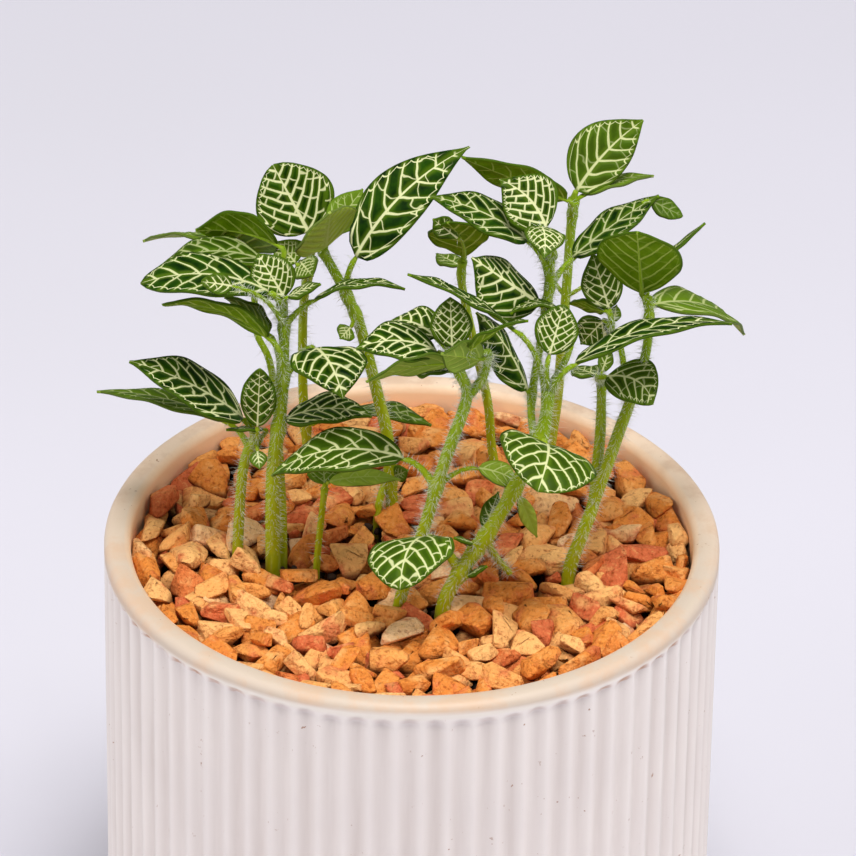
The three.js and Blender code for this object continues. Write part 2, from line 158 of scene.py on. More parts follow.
def srgb(red, green, blue):  # a colour given 0 to 255, as the linear one that nodes take
    def linear(value):
        value /= 255
        return value / 12.92 if value <= 0.04045 else ((value + 0.055) / 1.055) ** 2.4
    return (linear(red), linear(green), linear(blue), 1.0)


# leaf veins, in millimetres, from the attributes that each blade carries

veins = {
    "midribHalfWidth": 0.33,
    "ribHalfWidth": 0.22,
    "netHalfWidth": 0.095,
    "sweep": 0.66,  # how steeply the side ribs climb towards the tip, at the midrib
    "curl": 0.62,  # how much steeper they get towards the edge
    "loopInside": 1.15,  # how far inside the edge the ribs join
    "stagger": 0.3,  # how far the ribs of the two sides may stand apart
    "wander": 0.26,  # how fast the veins stray from their lines
}


def softLine(distance, width, outer, inner):  # 1 on the line and 0 beside it
    return ramp(distance, times(width, outer), times(width, inner))


def veinPattern():
    across, along, halfWidth, reach, length, seed, spacing, net, stout = (
        attribute(name) for name in
        ("acrossMm", "alongMm", "halfMm", "reachMm", "lengthMm", "seed", "spacingMm", "net", "stout")
    )
    distance = calc("ABSOLUTE", across)
    side = calc("SIGN", across)
    gap = minus(halfWidth, distance)
    edge = calc("DIVIDE", distance, greatest(halfWidth, 0.3), clamp=True)
    part = calc("DIVIDE", along, length, clamp=True)
    out = over(distance, reach)
    ownPlace = calc("FLOOR", times(seed, 200.0))
    wanderPlace = vector(times(across, veins["wander"]), times(along, veins["wander"]), ownPlace)
    wobble = minus(noiseValue(wanderPlace, 1.0, 1.0), 0.5)
    climb = times(out, plus(veins["sweep"], times(out, veins["curl"])), reach)
    sideShift = times(side, minus(seed, 0.3), veins["stagger"])
    phase = plus(minus(over(minus(along, climb), spacing), 0.25), sideShift, times(wobble, 0.4))

    # midrib
    midribWidth = times(minus(1.2, part), veins["midribHalfWidth"], stout)
    midrib = softLine(distance, midribWidth, 1.3, 0.6)

    # side ribs
    toRib = calc("ABSOLUTE", minus(calc("FRACT", plus(phase, 0.5)), 0.5))
    ribDistance = times(toRib, spacing, minus(0.84, times(out, 0.36)))
    ribWidth = times(minus(1.15, times(edge, 0.6)), veins["ribHalfWidth"], stout)
    rib = times(
        softLine(ribDistance, ribWidth, 1.4, 0.55), ramp(gap, 0.3, 0.8), ramp(halfWidth, 0.7, 1.6),
        calc("GREATER_THAN", phase, -0.5),
    )

    # loops that join the side ribs inside the edge
    netWidth = times(stout, veins["netHalfWidth"])
    toLoop = calc("ABSOLUTE", minus(gap, minus(veins["loopInside"], times(toRib, toRib, 2.6))))
    loop = times(softLine(toLoop, netWidth, 1.6, 0.5), ramp(halfWidth, 1.7, 3.0))

    # links from rib to rib, like courses of bricks
    cell = times(spacing, minus(1.2, times(net, 0.5)))
    course = newNode("TexWhiteNoise")
    course.noise_dimensions = "2D"
    plug(course.inputs["Vector"], vector(calc("FLOOR", phase), plus(ownPlace, side)))
    tilt = times(minus(calc("FRACT", phase), 0.5), 0.6)
    linkPlace = plus(over(distance, cell), plus(course.outputs["Value"], tilt), times(wobble, 0.5))
    linkDistance = times(calc("ABSOLUTE", minus(calc("FRACT", linkPlace), 0.5)), cell)
    link = times(
        softLine(linkDistance, netWidth, 1.6, 0.5), ramp(gap, 0.55, 0.95), ramp(net, 0.0, 0.3, 0.3, 0.85),
    )

    ribs = greatest(midrib, rib)
    halo = greatest(
        ramp(distance, 1.4, 0.3), ramp(ribDistance, 0.9, 0.15), ramp(linkDistance, 0.6, 0.05, 0.0, 0.55),
    )
    return {"line": greatest(ribs, loop, link), "halo": halo, "edge": edge, "rib": ribs}


leafLook = {
    "deepGreen": srgb(4, 30, 0),
    "freshGreen": srgb(36, 72, 0),
    "haloGreen": srgb(102, 130, 26),
    "paintedLightGreen": srgb(172, 190, 72),  # painted light, where a leaf's pale value is over 1
    "veinCream": srgb(218, 219, 166),
    "veinLime": srgb(168, 182, 96),
    "underOlive": srgb(80, 110, 0),
    "underLight": srgb(104, 134, 12),
    "underPale": srgb(158, 176, 84),
    "underVein": srgb(152, 170, 72),
    "rimGreen": srgb(48, 70, 12),
    "roughness": (0.39, 0.55),
    "underRoughness": 0.5,
    "specular": 0.06,
}


def leafTopMaterial():
    material, shader = newMaterial("leafTop")
    pattern = veinPattern()
    pale = attribute("pale")
    place = objectPlace()
    ground = layered(
        leafLook["deepGreen"],
        (ramp(noiseValue(place, 260.0, 5.0), 0.3, 0.75), leafLook["freshGreen"]),
        # paler leaves, and painted light on leaves that sit in shade
        (times(pale, 0.75), leafLook["haloGreen"]),
        # painted light on leaves whose pale value is over 1
        (times(calc("SUBTRACT", pale, 1.0, clamp=True), 0.9), leafLook["paintedLightGreen"]),
        (times(pattern["halo"], 0.45), leafLook["haloGreen"]),
        (ramp(pattern["edge"], 0.95, 1.0, 0.0, 0.6), leafLook["rimGreen"]),
    )
    cream = mixColour(times(pale, 0.55), leafLook["veinCream"], leafLook["veinLime"])
    strength = times(pattern["line"], minus(0.95, attribute("faint")))
    grain = noiseValue(place, 1800.0, 3.0)
    roughness = ramp(grain, 0.2, 0.8, *leafLook["roughness"])
    setFinish(shader, mixColour(strength, ground, cream), roughness, leafLook["specular"])
    quilted = addBump(shader, minus(1.0, pattern["halo"]), 0.5, 0.25 * mm)
    addBump(shader, grain, 0.25, 0.05 * mm, quilted)
    return material


def leafUnderMaterial():
    material, shader = newMaterial("leafUnder")
    pattern = veinPattern()
    colour = layered(
        leafLook["underOlive"],
        (ramp(noiseValue(objectPlace(), 300.0, 5.0), 0.3, 0.75), leafLook["underLight"]),
        # paler undersides, and painted light on undersides that sit in shade
        (times(attribute("pale"), 0.7), leafLook["underPale"]),
        (plus(times(pattern["rib"], 0.6), times(pattern["line"], 0.3)), leafLook["underVein"]),
        (ramp(pattern["edge"], 0.93, 1.0, 0.0, 0.7), leafLook["rimGreen"]),
    )
    setFinish(shader, colour, leafLook["underRoughness"], leafLook["specular"])
    addBump(shader, pattern["rib"], 0.6, 0.25 * mm)
    return material


stemLook = {
    "lowGreen": srgb(160, 169, 6),
    "highGreen": srgb(124, 152, 16),
    "fromHeight": 0.112,  # where low green begins to turn into high green
    "toHeight": 0.165,
    "paleRidge": srgb(180, 194, 84),
    "darkBlotch": srgb(96, 124, 8),
    "roughness": 0.45,
    "specular": 0.1,
    "sheen": {"Sheen Weight": 0.04, "Sheen Roughness": 0.5, "Sheen Tint": (0.86, 0.95, 1.0, 1.0)},
    "hairShade": srgb(226, 232, 206),
    "hairLight": srgb(250, 250, 244),
    "hairRoughness": 0.35,
}


def stemMaterial():
    material, shader = newMaterial("stemSkin")
    place = objectPlace()
    height = splitPlace(place)[2]
    streak = noiseValue(objectPlace((1.0, 1.0, 0.2)), 1400.0, 3.0)
    blotch = noiseValue(place, 320.0, 3.0)
    colour = layered(
        stemLook["lowGreen"],
        (ramp(height, stemLook["fromHeight"], stemLook["toHeight"]), stemLook["highGreen"]),
        (ramp(streak, 0.45, 0.8, 0.0, 0.6), stemLook["paleRidge"]),
        (ramp(blotch, 0.55, 0.8, 0.0, 0.5), stemLook["darkBlotch"]),
    )
    setFinish(shader, colour, stemLook["roughness"], stemLook["specular"])
    plugAll(shader, stemLook["sheen"])
    addBump(shader, streak, 0.5, 0.15 * mm)
    return material


def hairMaterial():
    material, shader = newMaterial("stemHair")
    tone = noiseValue(objectPlace(), 500.0, 1.0)
    colour = mixColour(tone, stemLook["hairShade"], stemLook["hairLight"])
    setFinish(shader, colour, stemLook["hairRoughness"])
    return material


bladeMaterials = [leafTopMaterial(), leafUnderMaterial()]
stalkMaterials = [stemMaterial(), hairMaterial()]
print("foliage materials ready")


# plant: the same places as the solids, in millimetres
# a path's points are x, y, z and width, and hairs are counted to the millimetre

facing = (0, -1, 0.6)

plainLeaf = {
    "face": (0, 0, 1),  # where the upper side looks
    "roll": 0,  # about its midrib, in degrees
    "twist": 0,  # how much further at the tip
    "arch": 0,  # how far the midrib rises
    "bow": 0,  # how far it bends sideways
    "fold": 8,  # lift of both halves, in degrees
    "camber": 0.1,  # how far the edges droop, as a share of the half width
    "ripple": 0.3,  # waves of the edges, in millimetres
    "skew": 0,  # how much wider one half is
    "widest": 0.43,  # where, as a share of the length
    "sharp": 1,  # 0 for a round tip
    "net": 0.35,  # how plain the finest veins are
    "faint": 0,  # how far all veins fade
    "pale": 0.0,  # how pale a leaf is, partly painted light on leaves in shade; over 1 adds more painted light
}


def leaf(start, base, tip, wide, **shape):  # from its stem to the base and the tip of its blade
    return {**plainLeaf, "start": start, "base": base, "tip": tip, "wide": wide, **shape}


tallLeft = {
    "node": "stem_tall_left", "hairs": 24,
    "paths": [[(-27, -4, 110, 3), (-27, -4, 131, 2.8), (-25.5, -4, 146, 2.4), (-25, -4, 158, 2.1),
               (-25, -4, 164, 2), (-25.5, -4, 170.5, 1.6)]],
    "leaves": [
        leaf((-25.5, -4, 152.5), (-28, -6, 163), (-48, -8, 171), 11, roll=-41, arch=2.5, sharp=0),
        leaf((-25.5, -4, 153), (-28, -1, 161), (-36.5, 1, 167.5), 11, roll=-50, arch=1),
        leaf((-25, -4, 153), (-19, -6, 160.5), (-13.5, -19, 157.5), 15.5, roll=5, arch=2, net=0.2),
        leaf((-25, -4, 164), (-34.7, -15, 179.6), (-40.3, -17, 181.6), 4.2, face=facing, roll=-8, arch=0.4,
             sharp=0, net=0.4),
        leaf((-25, -4, 164), (-19, -5, 171), (-2, -6, 174), 9.5, roll=21, arch=2),
        leaf((-25.5, -4, 169), (-28, -6, 173), (-52, -8, 175.5), 14, roll=4, arch=3, sharp=0, widest=0.5,
             net=0.25, faint=0.18),
        leaf((-25.5, -4, 170), (-25, -5, 171.5), (-30, -2, 179), 9, face=facing, arch=0.5, sharp=0.3,
             net=0.7),
        leaf((-25, -4, 170), (-24, -6, 172), (-18, -7, 175.5), 5, net=0.7),
        leaf((-26, -4, 141), (-24.5, -4.5, 143.5), (-8, -7, 146), 12, roll=2, arch=2),
    ],
}

shortLeft = {
    "node": "stem_short_left", "hairs": 18,
    "paths": [[(-34, -1, 110, 2.2), (-33, -2, 129.5, 2), (-31.5, -2, 135, 2), (-30, -2, 138, 1.8)]],
    "leaves": [
        leaf((-30.5, -2, 137.5), (-33, -4, 143.5), (-54.5, -6, 157), 14.5, roll=8, arch=1.5, net=0.25),
        leaf((-31.5, -2, 135), (-36.5, 2, 139), (-61.5, 8, 141.5), 9, roll=-15, arch=1.5, pale=0.6,
             faint=0.35),
        leaf((-30, -2, 138), (-30, -6, 143), (-29.5, -7, 156.5), 7, face=facing, net=0.7, sharp=0.1,
             widest=0.48),
        leaf((-30, -2, 137.5), (-29, -4, 141), (-36, -6, 142), 4, roll=-22, net=0.8),
        leaf((-30, -2, 136.5), (-30, -5, 136.5), (-29.5, -8, 134.4), 3.4, face=facing, net=0.2, pale=0.3),
    ],
}

backLeft = {
    "node": "stem_back_left", "hairs": 5,
    "paths": [[(-25, -1, 110, 1.5), (-25.5, 1, 125.5, 1.5), (-27.5, 5, 148.5, 1.4), (-30.5, 8, 155.5, 1.3),
               (-31, 9, 164.5, 1.2)]],
    "leaves": [
        leaf((-31, 9, 164.5), (-26.5, 10, 174), (-42.5, 15, 174), 12.5, roll=-68, arch=1.5),
        leaf((-31, 9, 164.5), (-36, 14, 171.5), (-53, 25, 165.5), 9, roll=-24, arch=1.5, pale=0.9, faint=0.4),
        leaf((-31, 9, 164.5), (-29.5, 8, 171.5), (-49, 7, 170.5), 13, roll=-4, arch=2.5, pale=0.2, faint=0.5),
    ],
}

farLeft = {
    "node": "stem_far_left", "hairs": 5,
    "paths": [[(-21, 35, 110, 2), (-22, 33, 127, 1.9), (-22, 31, 146.5, 1.8), (-21, 29, 157, 1.7),
               (-20, 28, 165, 1.5)]],
    "leaves": [
        leaf((-20, 28, 165), (-21, 28, 166.5), (-28, 32, 179), 16, face=facing, sharp=0, net=0.6, skew=0.06),
        leaf((-21, 29, 156), (-22.5, 29, 159), (-20, 22, 160), 6, face=facing, net=0.6, pale=0.5),
        leaf((-21, 29, 155), (-23.5, 28, 159.5), (-27, 30, 163), 7, face=facing, net=0.6, pale=0.6),
        leaf((-21.5, 34, 118.5), (-20, 33, 119.5), (3.5, 27, 123), 12, roll=40, twist=-40, arch=3, pale=0.4,
             faint=0.45),
    ],
}

middle = {
    "node": "stem_middle", "hairs": 18,
    "paths": [
        [(-4, 15, 110, 2.4), (-5, 15, 127, 2.4), (-7, 15, 137, 2.3), (-10.5, 14, 153, 2.2),
         (-13, 13, 160.5, 2), (-15, 13, 165, 1.9), (-18, 13, 171, 1.7)],
        [(-7, 13, 110, 1.5), (-5.5, 15, 117, 1.5), (-5, 15, 119, 1.4)],
    ],
    "leaves": [
        leaf((-18, 13, 171), (-17.5, 12, 172.5), (-16.5, 2, 186), 14.5, roll=147, fold=-8, camber=-0.1,
             sharp=0.5, pale=1.9,
             net=0.05, faint=0.35),
        leaf((-18, 13, 171), (-16.5, 17, 173), (-10.5, 24, 178.5), 7, face=facing, pale=1.0, faint=0.35),
        leaf((-13.5, 13, 161), (-11.5, 12, 170.5), (10, 20, 190.5), 12, face=(-0.3, -1, 0.8), bow=-2.5,
             widest=0.38),
        leaf((-12, 13, 156.5), (-12.5, 12, 154.5), (-14.5, 11, 152.5), 4, face=facing, pale=0.6),
        leaf((-4.5, 15, 118.5), (-3.5, 14, 119.5), (-1, 12, 122), 3.5, face=facing, faint=0.7),
    ],
}

sprout = {
    "node": "stem_sprout", "hairs": 5,
    "paths": [[(-18.5, -6, 110, 1.4), (-17, -6, 129, 1.2)]],
    "leaves": [
        leaf((-17, -6, 129), (-16, -6, 130.5), (-2.5, -5, 130.5), 3.8, face=(0, -1, 1.4), arch=2, pale=1.7,
             faint=0.6),
        leaf((-17, -6, 129), (-17, -6, 130), (-17.5, -1, 133), 6.5, face=facing, pale=0.8, faint=0.5),
    ],
}

centre = {
    "node": "stem_centre", "hairs": 32,
    "paths": [
        [(-2.5, -19.5, 110, 2.4), (2.5, -20, 130, 2.3), (4.5, -20, 138.5, 2.3), (7, -21, 148.5, 2.3),
         (10, -21, 159.5, 2.2), (8.5, -22, 165.5, 2), (7.5, -22, 168, 1.6)],
        [(10, -21, 159.5, 2), (13, -21, 164, 1.7), (14, -21, 169.5, 1.0)],
    ],
    "leaves": [
        leaf((4.5, -20, 138), (-2, -18.5, 144), (-27, -14.5, 137), 13.5, roll=7, arch=4, pale=0.3),
        leaf((5, -20, 139), (12.5, -17, 141), (20.5, -14, 135), 5.2, face=(0.5, -0.6, 1), arch=1.5,
             pale=1.45, net=0, faint=0),
        leaf((7.5, -22, 168), (4, -22, 170), (-11, -24, 171.5), 13.5, roll=2, arch=2),
        leaf((8, -21, 167), (4, -17, 170), (-5.5, -10, 168.5), 11, roll=5, arch=2),
        leaf((7.5, -22, 168), (7, -24, 172.5), (6.5, -22, 182), 8, face=facing, net=0.7, sharp=0.3),
        leaf((8, -22, 168), (6.5, -25, 169.5), (-9, -30, 168), 9, roll=-62, twist=20, arch=1, pale=0.5),
        leaf((14, -21, 169.5), (10.5, -27, 174), (21, -31, 182.5), 9, roll=20, arch=1),
        leaf((13.5, -21, 168), (12.5, -25, 170.5), (5, -31, 175), 8, roll=-75, pale=0.5),
        leaf((8, -21, 166), (7, -18, 163.5), (0, -13, 160), 8, roll=-8),
    ],
}

front = {
    "node": "stem_front", "hairs": 32,
    "paths": [
        [(6, -19.5, 110, 2.8), (10, -19.5, 120, 2.8), (15, -19, 128.5, 2.7), (20, -18, 138.5, 2.7),
         (24.5, -17, 149.5, 2.6), (25.5, -16, 158.5, 2)],
        [(23.5, -16.5, 146, 1.6), (22.5, -14, 150, 1.5), (22.5, -12, 155, 1.5), (24, -8, 164.5, 1.6),
         (25, -6, 172, 1.7), (25.5, -5, 175, 1.7), (25.5, -4, 181, 1.4)],
        [(14, -19, 126, 1.5), (16.5, -17, 120.5, 1.4), (19, -16, 116.5, 1.2)],
    ],
    "leaves": [
        leaf((25, -16, 157), (18.5, -18, 173), (-1.5, -24, 188), 10, roll=-10, arch=1),
        leaf((25.5, -15, 158), (28, -9, 171), (18, -12, 172.5), 8, roll=-18, arch=2),
        leaf((25.5, -16, 158.5), (25.5, -18, 167.5), (28, -15, 176.5), 8.4, face=facing, net=0.7, sharp=0.1,
             widest=0.48),
        leaf((26, -16, 158), (30.5, -18, 165.5), (60, -12, 171), 11, roll=15, arch=3),
        leaf((9.5, -19.5, 119), (2.6, -23, 129), (-2, -38, 126.8), 18, skew=-0.1, roll=-17, arch=3, sharp=0,
             widest=0.54, pale=0.3, net=0.45),
        leaf((24.5, -17, 148.5), (25, -20, 148.5), (23.5, -36, 148), 20, roll=22, arch=3, sharp=0,
             widest=0.52, pale=0.3),
        leaf((14.5, -19, 127), (14, -16, 126.5), (16.5, -11, 132), 4, face=facing, faint=0.2),
        leaf((19.5, -18, 137), (20.5, -15, 133.5), (24, -12, 122.5), 3.2, face=facing, roll=10, pale=1.9,
             faint=0.8),
        leaf((9.5, -19.5, 119), (11, -21, 119), (14.5, -22, 122), 3),
        leaf((12.5, -19.5, 124), (11.5, -21, 126.5), (8, -23, 129), 2.5),
        leaf((26, -4, 180.5), (24.5, -5, 187.5), (15.5, -1, 195.5), 11.5, face=facing, bow=1.5, net=0.8),
        leaf((25.5, -5, 175), (21, -4, 184), (2.5, -2, 192), 11, roll=6, arch=1.5, net=0.3, faint=0.25),
        leaf((26, -4, 180.5), (23.5, -7, 188.5), (24, -15, 186.5), 8, roll=12, arch=1.5, net=0.6),
        leaf((25.5, -5, 174.5), (30, -1.5, 179), (46, 5, 189), 10.5, roll=4, arch=0.5, faint=0.35),
        leaf((43, 4.5, 187.5), (44.5, 4.5, 188), (50.5, 4, 185), 4.5, face=(0.6, -0.6, 1), net=0.1,
             sharp=0.2, faint=0.75),
        leaf((25, -6, 171.5), (23.5, -8, 172.5), (10.5, -10, 183.5), 14, roll=35, fold=-25),
        leaf((22.5, -12, 154.5), (21.5, -13, 156.5), (11.5, -15, 174.5), 9, roll=35, fold=-20, bow=1.5),
    ],
}

backMiddle = {
    "node": "stem_back_middle", "hairs": 6,
    "paths": [[(16.5, 28, 110, 1.8), (15.5, 28, 118, 1.8), (14.5, 27, 129, 1.8), (11.5, 25, 144, 1.7),
               (9, 22, 158.5, 1.6), (9, 21, 164.5, 1.5)]],
    "leaves": [
        leaf((9, 21, 164.5), (9.3, 21, 165.5), (6, 12, 178.3), 12, roll=-20, bow=-1, widest=0.62, sharp=0.2),
        leaf((8, 16, 173), (7.8, 14.5, 173.5), (3.2, 12, 179), 4.6, face=facing, widest=0.6, net=0.2),
        leaf((9, 22, 161.5), (8.5, 24, 161.5), (4, 31, 160), 5, pale=0.6),
    ],
}

backRight = {
    "node": "stem_back_right", "hairs": 5,
    "paths": [
        [(27, 33, 110, 2.2), (27.5, 33, 117, 2.1), (28.5, 33, 128, 2.1), (29.5, 32, 150.5, 1.9),
         (30, 31, 164.5, 1.9), (30.5, 30, 173.5, 1.8)],
        [(29.5, 32, 150.5, 1), (28.5, 32, 151.5, 0.9), (27.5, 32, 153, 0.8)],
        [(29.5, 32, 150.5, 1), (31, 31.5, 151.5, 0.9), (32.5, 31, 153, 0.8)],
    ],
    "leaves": [
        leaf((30.5, 30, 173.5), (31, 30, 175.5), (43.6, 35, 188.5), 11.8, face=facing, bow=-1, widest=0.42,
             pale=0.4, net=0,
             skew=-0.12, sharp=0.6, faint=0.05),
        leaf((30.5, 30, 173), (32.5, 30, 174.5), (46, 35, 176), 6, roll=12, arch=1, pale=1.0, faint=0.3),
        leaf((30, 30, 170), (29, 28, 174.5), (8.5, 23, 186.5), 9, roll=-60),
    ],
}

right = {
    "node": "stem_right", "hairs": 24,
    "paths": [
        [(30.5, -7, 110, 2.7), (33, -7, 120, 2.5), (35, -6, 126.5, 2.4), (35.5, -4, 133, 2.2),
         (36, -3, 141, 2.1), (36, -2, 151, 1.7)],
        [(35, -6, 126.5, 2.3), (37.5, -6, 135.5, 2.3), (39.5, -6, 143, 2.3), (41.5, -6, 150, 2.1),
         (44, -6, 160, 1.8), (44.5, -6, 168.5, 1.7), (44, -6, 173, 1.5)],
        [(41, -6, 149.5, 1.3), (39.5, -2, 159, 1.2), (37.5, 0, 162.5, 1)],
    ],
    "leaves": [
        leaf((36, -2, 152), (37, -8, 156.5), (45.5, -14.5, 154.5), 9.8, face=(0, -0.8, 1), bow=-2.2,
             sharp=0.2, net=0.1, pale=0.2),
        leaf((36, -2, 151.5), (35, -2, 153), (30.5, 4, 151), 6, pale=0.3),
        leaf((36, -2, 152), (36, -2, 154), (37.5, 1, 157.5), 3, face=facing, pale=0.5),
        leaf((44, -6, 173), (43, -6, 174), (41.4, -14, 192), 16.6, sharp=0, widest=0.56),
        leaf((37.5, 0, 162.5), (37, 0, 167), (33.5, 2, 178), 8, face=facing, net=0.6),
        leaf((37.5, 0, 162.5), (36, 0, 166.5), (29.5, 4, 165.5), 6, roll=-50),
        leaf((37.5, 0, 162.5), (36, 1, 163.5), (32, 4, 156.5), 7, face=facing),
        leaf((37.5, 0, 162.5), (38, 1, 163.5), (38.5, 2, 166.5), 2.5, face=facing, pale=0.5),
        leaf((44.5, -6, 168.5), (45.5, -3, 169.5), (63.5, 9, 156), 13, arch=3, pale=0.9, net=0, faint=0.3),
        leaf((44, -6, 172.5), (45.5, -1, 177), (55, 6, 182.5), 2.6, roll=28),
    ],
}

leafyStems = [
    tallLeft, shortLeft, backLeft, farLeft, middle, sprout, centre, front, backMiddle, backRight, right,
]

foliage = {
    "thickness": 0.5,
    "largeGrid": (30, 20),  # rows and columns of a blade
    "smallGrid": (18, 12),
    "smallWidth": 6,
    "quilt": 0.3,  # how far the blade swells between its ribs
    "stalkSides": 10,
    "stalkRidges": 0.05,
    "petioleSides": 8,
    "petioleSteps": 7,
    "footHeight": 110,  # paths that start here stand in the gravel
    "footEnd": 92,
    "nodeSwell": 0.35,  # how much thicker a stem is where leaves leave it
    "nodeReach": 1.5,
    "hairLength": (0.6, 2.3),
    "hairWidth": 0.045,
    "hairsAbove": 112,
    "petioleHairs": 0.45,  # as a share of the stem's own
}

# what each blade carries for the veins
bladeValues = ("acrossMm", "halfMm", "reachMm", "alongMm", "lengthMm", "spacingMm", "seed", "net", "pale",
               "faint", "stout")


def bladeFrame(shape, t):  # the midrib's point, right and up directions and the half width there
    base, tip = Vector(shape["base"]), Vector(shape["tip"])
    chord = tip - base
    forward = chord.normalized()
    face = Vector(shape["face"])
    normal = (face - forward * face.dot(forward)).normalized()
    side = forward.cross(normal)
    turn = math.radians(shape["roll"] + shape["twist"] * t)
    rightward = side * math.cos(turn) + normal * math.sin(turn)
    up = normal * math.cos(turn) - side * math.sin(turn)
    bend = 4 * t * (1 - t)
    place = base + chord * t + up * shape["arch"] * bend + rightward * shape["bow"] * bend
    widestPower = math.log(0.5) / math.log(shape["widest"])
    fullness = max(math.sin(math.pi * t ** widestPower), 0.0)
    half = shape["wide"] / 2 * fullness ** (0.62 + 0.5 * t * shape["sharp"])
    return place, rightward, up, max(half, 0.15)


def bladePoint(shape, s, t, spacing, length, seed, phase):  # s runs across from -1 to 1, t along from 0 to 1
    place, rightward, up, half = bladeFrame(shape, t)
    half *= 1 + shape["skew"] * (1 if s > 0 else -1)
    fold = math.radians(shape["fold"])
    edge = abs(s)
    out = half * edge / (shape["wide"] / 2)
    rise = half * edge * math.sin(fold) - shape["camber"] * half * s * s
    climb = shape["wide"] / 2 * out * (veins["sweep"] + veins["curl"] * out)
    sideShift = (seed - 0.3) * veins["stagger"] * (1 if s > 0 else -1)
    swell = 0.5 - 0.5 * math.cos(2 * math.pi * ((t * length - climb) / spacing - 0.25 + sideShift))
    rise += foliage["quilt"] * swell * edge * (1 - edge) * 3 * min(half / 4, 1)
    rise += shape["ripple"] * edge ** 3 * math.sin(2 * math.pi * (2.3 * t + phase)) * min(half / 4, 1)
    return place + rightward * half * s * math.cos(fold) + up * rise, half


def addBlade(bm, layers, shape, chance):
    length = (Vector(shape["tip"]) - Vector(shape["base"])).length
    spacing = length / round(3.4 + length / 8 + 1.2 * (shape["net"] > 0.55))
    seed, phase = (chance.randrange(200) + 0.5) / 200, chance.random()
    rows, columns = foliage["largeGrid"] if shape["wide"] > foliage["smallWidth"] else foliage["smallGrid"]
    grid = bmesh.ops.create_grid(bm, x_segments=columns, y_segments=rows, size=1.0)
    stout = min(max(shape["wide"] / 12, 0.6), 1.1)
    for vert in grid["verts"]:
        s, t = vert.co.x, vert.co.y / 2 + 0.5
        vert.co, half = bladePoint(shape, s, t, spacing, length, seed, phase)
        vert.co *= mm
        values = (s * half, half, shape["wide"] / 2, t * length, length, spacing, seed,
                  shape["net"], shape["pale"], shape["faint"], stout)
        for layer, value in zip(layers, values):
            vert[layer] = value


def smoothPath(points, steps=6):  # a curve through points of x, y, z and radius
    made = []
    for i in range(len(points) - 1):
        a, b, c, d = (Vector(points[min(max(k, 0), len(points) - 1)]) for k in (i - 1, i, i + 1, i + 2))
        for k in range(steps):
            t = k / steps
            curve = 2 * b + (c - a) * t + (2 * a - 5 * b + 4 * c - d) * t ** 2
            made.append(0.5 * (curve + (3 * b - a - 3 * c + d) * t ** 3))
    made.append(Vector(points[-1]))
    return made


def growRings(bm, sides, count):  # gives each ring of a tube in turn, to be placed, and closes both ends
    ring = bmesh.ops.create_circle(bm, cap_ends=False, segments=sides, radius=1.0)["verts"]
    edges = firstRing = list(dict.fromkeys(edge for vert in ring for edge in vert.link_edges))
    yield ring
    for _ in range(count - 1):
        grown = bmesh.ops.extrude_edge_only(bm, edges=edges)["geom"]
        edges = [part for part in grown if isinstance(part, bmesh.types.BMEdge)]
        yield [part for part in grown if isinstance(part, bmesh.types.BMVert)]
    bmesh.ops.edgeloop_fill(bm, edges=firstRing)
    bmesh.ops.edgeloop_fill(bm, edges=edges)


def squareTo(along):  # two directions square to it
    turned = (Vector((1, 0, 0)) - along * along.x).normalized()
    return turned, along.cross(turned)


def standOn(x, y, z):  # the turn that lays the axes along these
    return Matrix((x, y, z)).transposed().to_4x4()


def addStalk(bm, line, sides, ridges=0.0):  # a tube along points of x, y, z and radius
    spread = []
    for i, ring in enumerate(growRings(bm, sides, len(line))):
        spread = spread or [vert.co.copy() for vert in ring]
        point, before, after = line[i], line[max(i - 1, 0)], line[min(i + 1, len(line) - 1)]
        along = (after.xyz - before.xyz).normalized()
        turn = standOn(*squareTo(along), along)
        for vert, flat in zip(ring, spread):
            wave = 1 + ridges * math.cos(4 * math.atan2(flat.y, flat.x))
            vert.co = (point.xyz + (turn @ (flat * point.w * wave))) * mm


def petioleLine(shape):
    start, base = Vector(shape["start"]), Vector(shape["base"])
    radius = 0.36 + 0.028 * shape["wide"]
    slope = (bladeFrame(shape, 0.15)[0] - base).normalized()
    shoulder = base - slope * 0.45 * (base - start).length
    line = []
    for i in range(foliage["petioleSteps"]):
        t = i / foliage["petioleSteps"]
        place = start * (1 - t) ** 2 + shoulder * 2 * t * (1 - t) + base * t ** 2
        line.append(Vector((*place, radius * (1.35 - 0.5 * min(t * 2, 1)))))
    for i in range(8):  # on as the midrib under the blade
        t = 0.11 * i
        place, _, up, _ = bladeFrame(shape, t)
        thick = max(radius * 0.5 * (1 - t) ** 1.2, 0.1)
        line.append(Vector((*(place - up * (0.1 + thick * 0.5)), thick)))
    return line


def toMesh(name, bm):
    mesh = bpy.data.meshes.new(name)
    bm.to_mesh(mesh)
    bm.free()
    return mesh


def addLayers(bm, names):
    return [bm.verts.layers.float.new(name) for name in names]


def makeHair():  # one millimetre tall
    bm = bmesh.new()
    wide = foliage["hairWidth"] * mm
    bmesh.ops.create_cone(bm, cap_ends=True, segments=3, radius1=wide, radius2=0.0, depth=mm)
    for face in bm.faces:
        face.material_index = 1
    return toMesh("hair", bm)


hair = makeHair()


